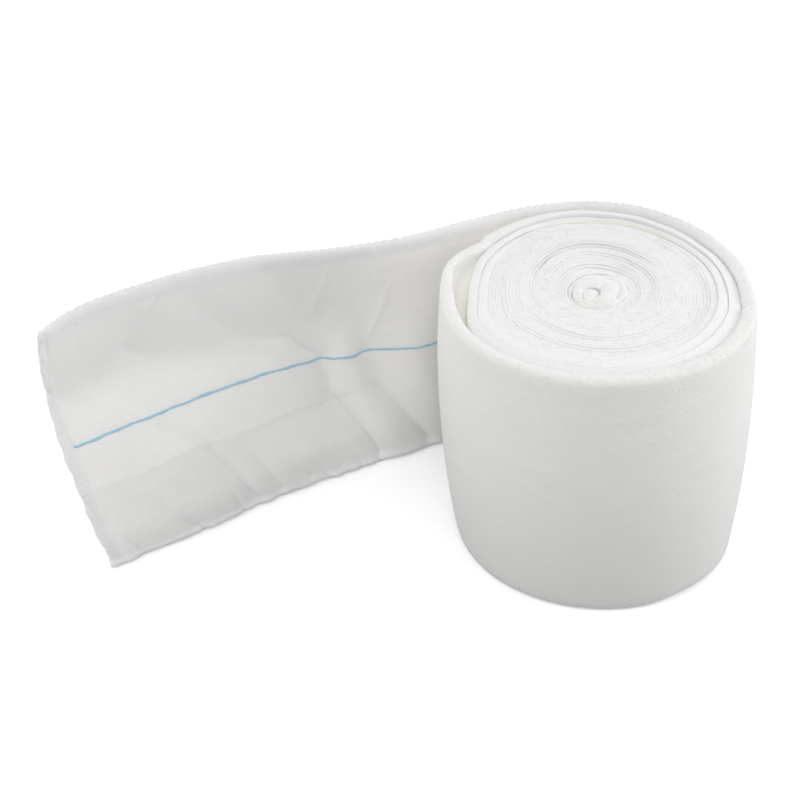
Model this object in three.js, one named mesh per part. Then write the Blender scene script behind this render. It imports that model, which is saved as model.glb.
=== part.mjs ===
// A combine dressing roll: one padded strip, wound up and standing on its end.
//
// Millimetres, +Z up. The origin is the middle of the roll on the surface it stands on, and the free end
// reaches out towards -X. Seen from above, the strip runs outwards counter-clockwise: the wound turns, then
// a slack turn that is pinched to a corner at the left, then the free end, which stands on its long edge.
//
// The top of the wound turns is a spiral lattice. A line on it is named by the turns counted from the core,
// so line 3.5 lies half a turn outside line 3, and whole lines are the grooves between the main turns. The
// last turn of the lattice carries straight on as the slack strip, with the same points across its edge.

import * as THREE from "three";

// The strip
const STRIP_WIDTH = 200;
const SLACK_THICKNESS = 8.5;
const EDGE_DROP = 4;
const FOOT_ROUND = 1.5;
const FOOT_HEIGHT = 2;

// The roll
const START_AZIMUTH = 147;
const WOUND_TURNS = 8;
const WALL_BULGE = 4.5;
const CORE_SHIFT = { x: 2, y: -4 };

// The lattice
const COLUMNS_PER_TURN = 60;
const RINGS_PER_TURN = 4;
const WALL_ROWS = 8;
const STATION_STEP = 7.5;

// The groove between the main turns: how far out it runs, how deep it is, and how far the padding beside it
// stands below the edge of the strip.
const GROOVE = [
  { turns: 0.0, radius: 0, depth: 12, dip: 2 },
  { turns: 0.5, radius: 9, depth: 9, dip: 1 },
  { turns: 1.0, radius: 16, depth: 7, dip: 3 },
  { turns: 1.6, radius: 23, depth: 5, dip: 4 },
  { turns: 2.5, radius: 33, depth: 3, dip: 3 },
  { turns: 3.0, radius: 39, depth: 2, dip: 2 },
  { turns: 3.6, radius: 44, depth: 6, dip: 2 },
  { turns: 3.85, radius: 48, depth: 10, dip: 2 },
  { turns: 4.1, radius: 50, depth: 4, dip: 2 },
  { turns: 4.4, radius: 53, depth: 4, dip: 3 },
  { turns: 5.0, radius: 60, depth: 2, dip: 2 },
  { turns: 5.4, radius: 68, depth: 4, dip: 3 },
  { turns: 5.6, radius: 76, depth: 6, dip: 1 },
  { turns: 5.9, radius: 81, depth: 11, dip: 1 },
  { turns: 6.1, radius: 81, depth: 3, dip: 1 },
  { turns: 6.6, radius: 84, depth: 3, dip: 1 },
  { turns: 7.0, radius: 87, depth: 5, dip: 0 },
  { turns: 8.0, radius: 96, depth: EDGE_DROP, dip: 0 },
];

// How far the roll is out of round: the radius at each azimuth over the radius of a true spiral.
const OUT_OF_ROUND = [
  { azimuth: 147, ratio: 1.0 },
  { azimuth: 162, ratio: 0.965 },
  { azimuth: 178, ratio: 0.945 },
  { azimuth: 194, ratio: 0.965 },
  { azimuth: 209, ratio: 1.03 },
  { azimuth: 225, ratio: 1.055 },
  { azimuth: 247, ratio: 1.045 },
  { azimuth: 270, ratio: 1.04 },
  { azimuth: 297, ratio: 1.06 },
  { azimuth: 316, ratio: 1.07 },
  { azimuth: 338, ratio: 1.03 },
  { azimuth: 360, ratio: 0.965 },
  { azimuth: 385, ratio: 0.93 },
  { azimuth: 410, ratio: 0.93 },
  { azimuth: 430, ratio: 0.96 },
  { azimuth: 455, ratio: 1.0 },
  { azimuth: 477, ratio: 1.012 },
  { azimuth: 507, ratio: 1.0 },
];

// The slack strip leaves the roll, stands away from it and is pinched to a corner. The middle of its width
// swells outwards, as the whole wall of the roll does.
const CORNER = [
  { x: -86.5, y: 41.5, thickness: 8, middle: 4.5 },
  { x: -94.5, y: 32.0, thickness: 6.5, middle: 5 },
  { x: -99.0, y: 21.0, thickness: 6, middle: 6 },
  { x: -99.6, y: 10.0, thickness: 6.5, middle: 6 },
  { x: -97.6, y: -8.0, thickness: 8, middle: 6 },
  { x: -93.4, y: -28.0, thickness: 8.5, middle: 5 },
];

// Once round the roll, with the gap left to the turn beneath.
const SLACK_TURN = [
  { azimuth: 209, gap: 3.0 },
  { azimuth: 225, gap: 1.0 },
  { azimuth: 247, gap: 1.0 },
  { azimuth: 270, gap: 1.0 },
  { azimuth: 297, gap: 1.0 },
  { azimuth: 316, gap: 1.0 },
  { azimuth: 338, gap: 1.2 },
  { azimuth: 360, gap: 1.6 },
  { azimuth: 385, gap: 2.4 },
  { azimuth: 410, gap: 3.6 },
  { azimuth: 430, gap: 3.8 },
  { azimuth: 455, gap: 4.4 },
];

// The free end: the line of its foot, how far the middle and the top lean back from it, and how far they
// run ahead of it at the cut, where the strip is thin and slants.
const FREE_END = [
  { x: -31, y: 102.5 },
  { x: -62, y: 96, middle: -1, top: -3 },
  { x: -91, y: 82.5, middle: -1, top: -4 },
  { x: -122, y: 68.5, middle: 0, top: -6 },
  { x: -152.5, y: 52.5, middle: 8, top: -3 },
  { x: -190, y: 31.5, middle: 19, top: 7.5 },
  { x: -226, y: 9.5, middle: 17, top: 24.5 },
  { x: -260.5, y: -14.5, middle: 19, top: 37 },
  { x: -293, y: -41.5, middle: 24.5, top: 46 },
  { x: -325.5, y: -64.5, middle: 24.5, top: 39.5 },
  { x: -338.5, y: -76, middle: 23, top: 30.5, aheadMiddle: 1, aheadTop: -3, thickness: 7.5 },
  { x: -348, y: -85.5, middle: 21.5, top: 23.5, aheadMiddle: 2.3, aheadTop: -8, thickness: 4.5 },
];

// The main folds of the free end, seen on its inner face: from a place so far from the cut end and so high up
// to another, with the rise of the fold and how far it reaches to each side. A trough has a negative rise.
const FOLDS = [
  { end: 57, height: 96, toEnd: 88, toHeight: 68, rise: 3.5, reach: 11 },
  { end: 88, height: 68, toEnd: 114, toHeight: 10, rise: 4, reach: 9 },
  { end: 145, height: 139, toEnd: 190, toHeight: 106, rise: 3, reach: 14 },
  { end: 191, height: 98, toEnd: 191, toHeight: 73, rise: 4, reach: 10 },
  { end: 191, height: 73, toEnd: 223, toHeight: 12, rise: 4, reach: 10 },
  { end: 216, height: 80, toEnd: 244, toHeight: 20, rise: -3, reach: 12 },
  { end: 233, height: 64, toEnd: 262, toHeight: 12, rise: 3, reach: 10 },
  { end: 203, height: 184, toEnd: 187, toHeight: 140, rise: 2.5, reach: 12 },
];

// A column of a table, read on a smooth line through its rows.
function smoothColumn(rows, key, column, ending) {
  const places = rows.map((row) => row[key]);
  const values = rows.map((row) => row[column]);
  const line = new THREE.CubicInterpolant(places, values, 1);
  line.settings = { endingStart: ending, endingEnd: ending };
  return (at) => line.evaluate(at)[0];
}

const grooveRadius = smoothColumn(GROOVE, "turns", "radius", THREE.ZeroCurvatureEnding);
const grooveDepth = smoothColumn(GROOVE, "turns", "depth", THREE.ZeroCurvatureEnding);
const grooveDip = smoothColumn(GROOVE, "turns", "dip", THREE.ZeroCurvatureEnding);
const roundness = smoothColumn(OUT_OF_ROUND, "azimuth", "ratio", THREE.WrapAroundEnding);

// The place in plan of the line that lies so many turns out from the core.
function woundPoint(turns) {
  const wholeTurns = Math.floor(turns);
  const azimuth = START_AZIMUTH + 360 * (turns - wholeTurns);
  const spiralRadius = grooveRadius(turns);
  const outwards = spiralRadius / grooveRadius(WOUND_TURNS);
  const radius = spiralRadius * (1 + outwards * (roundness(azimuth) - 1));
  const angle = THREE.MathUtils.degToRad(azimuth);
  const shift = 1 - outwards;
  return new THREE.Vector2(
    radius * Math.cos(angle) + shift * CORE_SHIFT.x,
    radius * Math.sin(angle) + shift * CORE_SHIFT.y,
  );
}

// How far the padding falls away across one turn, from 1 at the groove to 0 at its crown.
const CROSS_PROFILE = [1, 0.22, 0, 0.22, 1];

function woundTop(column, ring) {
  const across = ring % RINGS_PER_TURN;
  const share = across / RINGS_PER_TURN;
  const line = (ring - across) / RINGS_PER_TURN + column / COLUMNS_PER_TURN;
  const nearestLine = share > 0.5 ? line + 1 : line;
  const depth = grooveDepth(nearestLine) * CROSS_PROFILE[across];
  const dip = Math.max(0, grooveDip(line + share));
  const place = woundPoint(line);
  if (across > 0) place.lerp(woundPoint(line + 1), share);
  return new THREE.Vector3(place.x, place.y, STRIP_WIDTH - dip - depth);
}

// A row of a table that names no lean stands upright.
const UPRIGHT = { middle: 0, top: 0, aheadMiddle: 0, aheadTop: 0, thickness: SLACK_THICKNESS };

// The places in plan that the middle line of the slack strip runs through.
function slackControls() {
  const innerRoot = woundPoint(WOUND_TURNS - 1);
  const outerRoot = woundPoint(WOUND_TURNS);
  const root = innerRoot.clone().lerp(outerRoot, 0.5);
  const turn = SLACK_TURN.map(({ azimuth, gap }) => {
    const beneath = woundPoint(WOUND_TURNS - 1 + (azimuth - START_AZIMUTH) / 360);
    return beneath.setLength(beneath.length() + gap + SLACK_THICKNESS / 2);
  });
  return [
    { x: root.x, y: root.y, thickness: innerRoot.distanceTo(outerRoot), middle: WALL_BULGE },
    ...CORNER,
    ...turn.map(({ x, y }) => ({ x, y, middle: WALL_BULGE })),
    ...FREE_END,
  ].map((row) => ({ ...UPRIGHT, ...row }));
}

// The stations of the slack strip, a few for each span between two controls.
function slackStations() {
  const controls = slackControls();
  const places = controls.map(({ x, y }) => new THREE.Vector3(x, y, 0));
  const line = new THREE.CatmullRomCurve3(places, false, "centripetal");
  const spans = controls.length - 1;
  const stations = [];
  for (let span = 0; span < spans; span += 1) {
    const steps = Math.max(1, Math.round(places[span].distanceTo(places[span + 1]) / STATION_STEP));
    for (let step = span === 0 ? 0 : 1; step <= steps; step += 1) {
      const share = step / steps;
      const place = line.getPoint((span + share) / spans);
      const ahead = line.getTangent((span + share) / spans);
      const station = {
        place: new THREE.Vector2(place.x, place.y),
        ahead: new THREE.Vector2(ahead.x, ahead.y),
        outwards: new THREE.Vector2(ahead.y, -ahead.x),
      };
      for (const column of Object.keys(UPRIGHT)) {
        station[column] = THREE.MathUtils.lerp(controls[span][column], controls[span + 1][column], share);
      }
      stations.push(station);
    }
  }
  let end = 0;
  for (let at = stations.length - 1; at >= 0; at -= 1) {
    stations[at].end = end;
    if (at > 0) end += stations[at].place.distanceTo(stations[at - 1].place);
  }
  return stations;
}

// How far the folds push a place of the strip towards its inner side.
function foldRise(end, upWidth) {
  const place = new THREE.Vector2(end, upWidth);
  let rise = 0;
  for (const fold of FOLDS) {
    const from = new THREE.Vector2(fold.end, fold.height);
    const along = new THREE.Vector2(fold.toEnd, fold.toHeight).sub(from);
    const share = THREE.MathUtils.clamp(place.clone().sub(from).dot(along) / along.lengthSq(), 0, 1);
    const aside = place.distanceTo(from.addScaledVector(along, share)) / fold.reach;
    rise += fold.rise * Math.exp(-aside * aside);
  }
  return rise;
}

// The curve that starts at the foot and passes through these values at the middle and at the top.
function upCurve(share, middle, top) {
  return share * (4 * middle - top + share * (2 * top - 4 * middle));
}

// A point of the slack strip: across from 0 on its inner face to 1 on its outer one, and so far up its width.
// The height loses what the lean takes.
function slackPoint(station, across, upWidth) {
  const share = upWidth / STRIP_WIDTH;
  const lean = upCurve(share, station.middle, station.top) - foldRise(station.end, upWidth);
  const ahead = upCurve(share, station.aheadMiddle, station.aheadTop);
  const place = station.place.clone();
  place.addScaledVector(station.outwards, lean + (across - 0.5) * station.thickness);
  place.addScaledVector(station.ahead, ahead);
  const height = Math.sqrt(Math.max(0, upWidth * upWidth - lean * lean));
  return new THREE.Vector3(place.x, place.y, upWidth > 0 ? height : 0);
}

// Collects named points and the faces between them.
class Skin {
  constructor() {
    this.positions = [];
    this.numbers = new Map();
    this.faces = [];
  }

  point(name, makePosition) {
    if (!this.numbers.has(name)) {
      this.numbers.set(name, this.numbers.size);
      this.positions.push(...makePosition().toArray());
    }
    return this.numbers.get(name);
  }

  triangle(a, b, c) {
    if (a !== b && b !== c && c !== a) this.faces.push(a, b, c);
  }

  quad(a, b, c, d) {
    this.triangle(a, b, c);
    this.triangle(a, c, d);
  }

  geometry() {
    const geometry = new THREE.BufferGeometry();
    geometry.setAttribute("position", new THREE.Float32BufferAttribute(this.positions, 3));
    geometry.setIndex(this.faces);
    geometry.computeVertexNormals();
    return geometry;
  }
}

function dressingGeometry() {
  const skin = new Skin();
  const stations = slackStations();
  const root = COLUMNS_PER_TURN;
  const last = root + stations.length - 1;
  const topRings = (WOUND_TURNS - 1) * RINGS_PER_TURN;
  const footRings = WOUND_TURNS - 1;
  const topHeight = STRIP_WIDTH - EDGE_DROP;

  // The upper edge: wound lattice first, then the slack strip. A whole turn on, a line is the next one out.
  const top = (column, ring) => {
    if (column === root && ring + RINGS_PER_TURN <= topRings) return top(0, ring + RINGS_PER_TURN);
    return skin.point(`top ${column} ${ring}`, () => {
      if (column <= root) return woundTop(column, ring);
      const across = ring - topRings + RINGS_PER_TURN;
      const upWidth = STRIP_WIDTH - EDGE_DROP * CROSS_PROFILE[across];
      return slackPoint(stations[column - root], across / RINGS_PER_TURN, upWidth);
    });
  };

  // The foot is flat, with only the outer corners of the strip rounded in.
  const foot = (column, ring) => {
    if (column === root && ring + 1 <= footRings) return foot(0, ring + 1);
    return skin.point(`foot ${column} ${ring}`, () => {
      if (column > root) {
        const station = stations[column - root];
        const inset = FOOT_ROUND / station.thickness;
        return slackPoint(station, ring === footRings ? 1 - inset : inset, 0);
      }
      const place = woundPoint(ring + column / COLUMNS_PER_TURN);
      const inset = ring === footRings && column > 0 ? FOOT_ROUND : 0;
      place.setLength(Math.max(0, place.length() - inset));
      return new THREE.Vector3(place.x, place.y, 0);
    });
  };

  const rowHeight = (row) => FOOT_HEIGHT + ((row - 1) / (WALL_ROWS - 1)) * (topHeight - FOOT_HEIGHT);

  const outer = (column, row) => {
    if (row === 0) return foot(column, footRings);
    if (row === WALL_ROWS) return top(column, topRings);
    return skin.point(`outer ${column} ${row}`, () => {
      if (column > root) return slackPoint(stations[column - root], 1, rowHeight(row));
      const height = rowHeight(row);
      const place = woundPoint(WOUND_TURNS - 1 + column / COLUMNS_PER_TURN);
      place.setLength(place.length() + upCurve(height / STRIP_WIDTH, WALL_BULGE, 0));
      return new THREE.Vector3(place.x, place.y, height);
    });
  };

  // The inner face of the slack strip starts at the outer face of the turn beneath, one turn back.
  const inner = (column, row) => {
    if (column === root) return outer(0, row);
    if (row === 0) return foot(column, footRings - 1);
    if (row === WALL_ROWS) return top(column, topRings - RINGS_PER_TURN);
    return skin.point(`inner ${column} ${row}`, () => slackPoint(stations[column - root], 0, rowHeight(row)));
  };

  for (let column = 0; column < last; column += 1) {
    const next = column + 1;
    const firstTop = column < root ? 0 : topRings - RINGS_PER_TURN;
    for (let ring = firstTop; ring < topRings; ring += 1) {
      skin.quad(top(column, ring), top(column, ring + 1), top(next, ring + 1), top(next, ring));
    }
    const firstFoot = column < root ? 0 : footRings - 1;
    for (let ring = firstFoot; ring < footRings; ring += 1) {
      skin.quad(foot(column, ring), foot(next, ring), foot(next, ring + 1), foot(column, ring + 1));
    }
    for (let row = 0; row < WALL_ROWS; row += 1) {
      skin.quad(outer(column, row), outer(next, row), outer(next, row + 1), outer(column, row + 1));
      if (column >= root) {
        skin.quad(inner(column, row), inner(column, row + 1), inner(next, row + 1), inner(next, row));
      }
    }
  }

  // The middle of the core closes the first turn of the lattice, above and below.
  for (let column = 1; column < root - 1; column += 1) {
    skin.triangle(top(0, 0), top(column, 0), top(column + 1, 0));
    skin.triangle(foot(0, 0), foot(column + 1, 0), foot(column, 0));
  }
  for (let ring = 0; ring < RINGS_PER_TURN; ring += 1) {
    skin.triangle(top(root - 1, 0), top(0, ring + 1), top(0, ring));
  }
  skin.triangle(foot(root - 1, 0), foot(0, 0), foot(0, 1));

  // The cut end of the strip.
  for (let row = 0; row < WALL_ROWS; row += 1) {
    skin.quad(inner(last, row), inner(last, row + 1), outer(last, row + 1), outer(last, row));
  }
  const innerEdge = topRings - RINGS_PER_TURN;
  for (let ring = innerEdge + 1; ring < topRings; ring += 1) {
    skin.triangle(top(last, innerEdge), top(last, ring), top(last, ring + 1));
  }
  return skin.geometry();
}

const padding = new THREE.MeshStandardMaterial({ color: 0xf1f1f2, roughness: 0.95, metalness: 0 });

const dressing = new THREE.Mesh(dressingGeometry(), padding);
dressing.name = "dressing_roll";

const group = new THREE.Group();
group.add(dressing);

export default group;
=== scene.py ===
# %% [markdown]
# # Combine dressing roll
#
# A combine dressing is a long strip of absorbent padding in a soft nonwoven cover, with a thin woven
# backing on one face and one pale blue thread along the middle of it. The strip is wound into a roll, which
# stands here on its end with its last turn slack and its cut end laid open. A cylinder with rings on top
# could look like a roll from above, but this lesson makes the strip as one long surface, because that is
# how it is made and wound. Lengths are in millimetres until the mesh is made.

# %% The fixed frame
import math

import bpy
import numpy as np
from mathutils import Matrix, Vector


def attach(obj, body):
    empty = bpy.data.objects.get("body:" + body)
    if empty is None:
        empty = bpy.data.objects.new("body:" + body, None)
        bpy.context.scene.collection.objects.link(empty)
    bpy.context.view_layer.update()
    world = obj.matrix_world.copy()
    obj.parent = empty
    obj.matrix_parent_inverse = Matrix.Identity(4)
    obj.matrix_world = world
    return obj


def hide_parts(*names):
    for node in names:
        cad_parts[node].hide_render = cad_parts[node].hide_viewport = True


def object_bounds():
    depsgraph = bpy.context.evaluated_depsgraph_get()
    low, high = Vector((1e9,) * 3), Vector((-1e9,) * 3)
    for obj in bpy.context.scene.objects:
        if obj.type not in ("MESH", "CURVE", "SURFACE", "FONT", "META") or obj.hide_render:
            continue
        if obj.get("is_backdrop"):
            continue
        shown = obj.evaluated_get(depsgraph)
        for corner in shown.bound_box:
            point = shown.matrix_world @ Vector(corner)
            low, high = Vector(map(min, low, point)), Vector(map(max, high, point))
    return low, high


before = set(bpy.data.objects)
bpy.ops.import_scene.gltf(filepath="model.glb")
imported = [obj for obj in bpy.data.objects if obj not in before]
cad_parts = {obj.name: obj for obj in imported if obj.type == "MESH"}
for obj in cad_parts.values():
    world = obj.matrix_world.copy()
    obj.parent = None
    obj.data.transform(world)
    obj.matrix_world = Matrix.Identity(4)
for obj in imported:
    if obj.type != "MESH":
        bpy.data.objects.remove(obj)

MM = 0.001
cad_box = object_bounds()
print("CAD box in metres", [[round(x, 4) for x in corner] for corner in cad_box])

# %% [markdown]
# ## Camera
#
# The picture was taken from in front and above, a little from the right, with the camera tipped slightly to
# one side. Yaw, pitch and roll are easier to read than a matrix, so the matrix is worked out from them.

# %% Camera
CAMERA_PLACE = Vector((0, -0.685, 0.665))
CAMERA_YAW = math.radians(-11.32)
CAMERA_PITCH = math.radians(39.09)
CAMERA_ROLL = math.radians(-5.64)
FOCAL_PIXELS = 1257
PICTURE_PIXELS = 800
SENSOR_WIDTH = 36

ahead = Vector((
    math.sin(CAMERA_YAW) * math.cos(CAMERA_PITCH),
    math.cos(CAMERA_YAW) * math.cos(CAMERA_PITCH),
    -math.sin(CAMERA_PITCH),
))
level = ahead.cross(Vector((0, 0, 1))).normalized()
upright = level.cross(ahead)
to_right = math.cos(CAMERA_ROLL) * level + math.sin(CAMERA_ROLL) * upright
to_top = math.cos(CAMERA_ROLL) * upright - math.sin(CAMERA_ROLL) * level
camera = bpy.data.objects.new("camera", bpy.data.cameras.new("camera"))
camera.data.sensor_width = SENSOR_WIDTH
camera.data.lens = FOCAL_PIXELS * SENSOR_WIDTH / PICTURE_PIXELS
camera.matrix_world = Matrix((to_right, to_top, -ahead)).transposed().to_4x4()
camera.matrix_world.translation = CAMERA_PLACE
bpy.context.collection.objects.link(camera)
bpy.context.scene.camera = camera
print("lens", round(camera.data.lens, 1), "mm")

# %% [markdown]
# ## Tables and smooth lines
#
# Cloth has no formula of its own, so its shape is kept in short tables with named columns, and each column
# is read on a smooth line through its rows. A simulation could drape such cloth, but it wouldn't put each
# fold where it really lies. A noise that is the same every time gives the unevenness between the rows.

# %% Tables and smooth lines
def table(columns, *rows):
    """A table with named columns."""
    return np.array(list(rows), dtype=[(name, float) for name in columns.split()])


def smooth_through(at, places, values):
    """Each span between two rows is a cubic whose slopes at the rows are those of the rows on both sides."""
    slopes = np.gradient(values, places)
    at = np.clip(at, places[0], places[-1])
    span = np.clip(np.searchsorted(places, at, side="right") - 1, 0, len(places) - 2)
    width = places[span + 1] - places[span]
    share = (at - places[span]) / width
    rise = values[span + 1] - values[span]
    start = slopes[span] * width - rise
    end = rise - slopes[span + 1] * width
    return values[span] + share * rise + share * (1 - share) * ((1 - share) * start + share * end)


def read(rows, at, name):
    """One column of a table, at given values of its first column."""
    return smooth_through(at, rows[rows.dtype.names[0]], rows[name])


def run_along(line):
    """How far along a line of points each of them lies."""
    return np.concatenate([[0], np.cumsum(np.linalg.norm(np.diff(line, axis=0), axis=1))])


def ramp(value, low, high):
    """From 0 at low to 1 at high, with level ends: 3t^2 - 2t^3. low may be the larger of the two."""
    share = np.clip((value - low) / (high - low), 0, 1)
    return share * share * (3 - 2 * share)


def bell(value, middle, reach):
    """1 at the middle and exp(-(distance / reach)^2) beside it."""
    return np.exp(-((value - middle) / reach) ** 2)


print("a ramp from 0 to 1 is", ramp(np.array([0, 0.25, 0.5, 0.75, 1]), 0, 1), "on its way")

# %% Noise
LATTICE = 64


def noise(seed, x, y=0.0):
    """Value noise from -1 to 1: random numbers at whole x and y, and a smooth blend of the four round each
    place. So 0.3 * noise(14, end / 26, height / 34) is at most 0.3 mm high, in lumps 26 mm long and 34 mm
    high."""
    x, y = np.broadcast_arrays(np.asarray(x, float), np.asarray(y, float))
    lattice = np.random.default_rng(seed).uniform(-1, 1, (LATTICE, LATTICE))
    column, row = np.floor(x).astype(int), np.floor(y).astype(int)
    across, up = ramp(x - column, 0, 1), ramp(y - row, 0, 1)
    corner = lambda i, j: lattice[(column + i) % LATTICE, (row + j) % LATTICE]
    lower = corner(0, 0) * (1 - across) + corner(1, 0) * across
    upper = corner(0, 1) * (1 - across) + corner(1, 1) * across
    return lower * (1 - up) + upper * up


print("noise from", round(float(noise(1, np.linspace(0, 50, 999)).min()), 2))

# %% [markdown]
# ## The wound turns
#
# A line is where two turns meet. The strip lies between line t and line t + 1, so one table, the radius of
# the line against the number of turns, gives both its place and its thickness. The turns at the core are
# loose and thick, those outside them are pressed to 2 mm, and the last two are loose again. The roll isn't
# round, and is less so at some depths, so a second table gives the radius at each azimuth over that of a
# true spiral.

# %% Lines between the turns
STRIP_WIDTH = 200
START_AZIMUTH = 147
LAST_WOUND_TURN = 30
CORE_SHIFT = np.array([2, -4])
MIDDLE_RADIUS = 48
RING_RADIUS = 80
OUTER_RADIUS = 96
RELAXED_TURNS = 7

TURN_LINE = table("turns radius",
    (0, 0.3), (0.4, 0.5), (0.75, 1.4), (0.9, 3.4), (1, 7.6), (1.5, 13), (2, 17), (3, 20.5),
    (4, 22.7), (15, 46.5), (27, 72.4), (28, 74.5), (29, 80.5), (30, 87), (31, 96),
)
ROUNDNESS = table("azimuth outer ring middle",
    (147, 1.0, 0.99, 0.955),
    (162, 0.965, 0.965, 0.925),
    (178, 0.945, 0.94, 0.9),
    (194, 0.965, 0.96, 0.905),
    (209, 1.03, 1.02, 0.915),
    (225, 1.055, 1.03, 0.925),
    (247, 1.045, 1.02, 0.96),
    (270, 1.04, 1.03, 1.02),
    (297, 1.06, 1.05, 1.05),
    (316, 1.07, 1.05, 1.04),
    (338, 1.03, 1.02, 0.99),
    (360, 0.965, 0.975, 0.935),
    (385, 0.93, 0.955, 0.937),
    (410, 0.93, 0.96, 0.95),
    (430, 0.96, 1.01, 1.01),
    (455, 1.0, 1.05, 1.07),
    (477, 1.012, 1.055, 1.075),
    (507, 1.0, 0.99, 0.955),
)
# Where two turns stand apart: the line, half the arc in degrees, how far apart, and how far the edges there
# drop.
SLITS = table("turns reach gap drop",
    (2.23, 100, 0.6, 1.6),
    (4.8, 60, 0.12, 0.5),
    (5.8, 60, 0.12, 0.5),
    (7.75, 50, 0.1, 0.4),
    (10.74, 70, 0.2, 0.7),
    (14.87, 88, 1.3, 1.7),
    (19.33, 75, 0.15, 0.6),
    (24.4, 50, 0.1, 0.4),
    (28.83, 98, 2.4, 2.6),
    (29.8, 90, 0.2, 0.8),
)


def slit_shares(turns):
    """For each slit, the whole turns that a line lies outside it, and the slit's opening at that azimuth,
    which falls from 1 at its middle to 0 at its ends as a cosine squared."""
    offset = turns[..., None] - SLITS["turns"]
    outside = np.round(offset)
    aside = np.abs(offset - outside) * 360 / SLITS["reach"]
    return outside, np.cos(np.minimum(aside, 1) * np.pi / 2) ** 2


def line_place(turns, first_outside):
    """The plan of a line: the spiral's radius times its roundness, read between four depths, pushed out by
    every slit at least first_outside turns inside it, which a few more turns take up again."""
    turns = np.asarray(turns, float)
    radius = read(TURN_LINE, turns, "radius")
    azimuth = START_AZIMUTH + 360 * (turns % 1)
    depths = np.array([0, MIDDLE_RADIUS, RING_RADIUS, OUTER_RADIUS])
    ratios = [read(ROUNDNESS, azimuth, name) for name in ("middle", "ring", "outer")]
    levels = np.stack([np.ones_like(radius), *ratios])
    place = np.clip(np.searchsorted(depths, radius, side="right") - 1, 0, depths.size - 2)
    share = (radius - depths[place]) / (depths[place + 1] - depths[place])
    index = np.arange(radius.size)
    ratio = levels[place, index] * (1 - share) + levels[place + 1, index] * share
    outside, opening = slit_shares(turns)
    taken = np.where(outside >= first_outside, np.clip(1 - outside / RELAXED_TURNS, 0, 1), 0)
    radius = radius * ratio + (SLITS["gap"] * opening * taken).sum(-1)
    angle = np.radians(azimuth)
    shift = np.clip(1 - radius / MIDDLE_RADIUS, 0, 1)[:, None] * CORE_SHIFT
    return radius[:, None] * np.stack([np.cos(angle), np.sin(angle)], -1) + shift


def wound_faces(turns):
    """The plan of the strip's inner face, just outside any slit, and of its outer face, one line further
    out."""
    return line_place(turns, 0), line_place(turns + 1, 1)


thicknesses = np.diff(read(TURN_LINE, np.array([20, 21, 29, 30]), "radius"))
print("turn 20 is", round(float(thicknesses[0]), 2), "mm thick and turn 29", round(float(thicknesses[2]), 2))

# %% Edges of the wound turns
# A soft valley inside the slack turn: how far the upper edge lies lower, and how much more at its outer
# side.
SHOULDER = table("turns drop outward",
    (27.95, 0, 0),
    (28.1, 0, 0.3),
    (28.3, 0, 1.2),
    (28.6, 0, 0.8),
    (28.8, 0, 0),
    (28.95, 0, 0.2),
    (29.1, 0.3, 1.6),
    (29.3, 1.2, 4),
    (29.5, 0.9, 3.2),
    (29.65, 0.5, 2.6),
    (29.8, 0, 1),
    (30, 0, 0.4),
)
# The dish of the roll's top.
DISH = table("radius drop",
    (0, 3), (6, 1.6), (12, 1.2), (18, 3), (23, 4), (33, 3),
    (45, 2), (60, 2), (70, 2.5), (78, 1), (86, 0.5), (96, 0),
)


def edge_drop(turns):
    """How far the strip's upper edge lies below the top: the dish of the roll, plus the drop beside a slit,
    which is divided by e for each turn further from it. The second value is that drop on the two turns
    beside a slit alone, where it also rounds the edge."""
    outside, opening = slit_shares(turns)
    near = opening * np.exp(0.5 - np.abs(outside + 0.5))
    beside = np.where(np.abs(outside + 0.5) < 1, opening, 0)
    dish = read(DISH, read(TURN_LINE, turns + 0.5, "radius"), "drop")
    return dish + (SLITS["drop"] * near).sum(-1), (SLITS["drop"] * beside).sum(-1)


print("the top is dished by up to", DISH["drop"].max(), "mm")

# %% Steps along the wound turns
WOUND_STEP = 5
FEWEST_STEPS_A_TURN = 28

fine = np.linspace(0, LAST_WOUND_TURN, LAST_WOUND_TURN * 360 + 1)
inner_line, outer_line = wound_faces(fine)
steps = np.linalg.norm(np.diff((inner_line + outer_line) / 2, axis=0), axis=1)
wound_length = steps.sum()
wanted = np.maximum(steps / WOUND_STEP, FEWEST_STEPS_A_TURN / 360)
counted = np.concatenate([[0], np.cumsum(wanted)])
whole_steps = int(counted[-1])
wound_turns = np.interp(np.arange(whole_steps + 1) / whole_steps * counted[-1], counted, fine)
print("wound strip", round(wound_length / 1000, 2), "m in", wound_turns.size, "stations")

# %% [markdown]
# ## The slack turn and the free end
#
# The last turn has come loose: it leaves the roll, stands away from it and is pinched to a soft corner,
# runs round the roll again with a small gap, and ends in the free end. The free end stands on its lower
# long edge and leans back, more at its middle or at its top from place to place. A Bezier curve with a
# bevel could carry such a strip, but not change its lean and thickness on the way. So the line of its foot
# is a table of places, and a smooth line through them carries the strip.

# %% The line of the slack strip
SLACK_THICKNESS = 8.5
WALL_BULGE = 4.5

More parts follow.
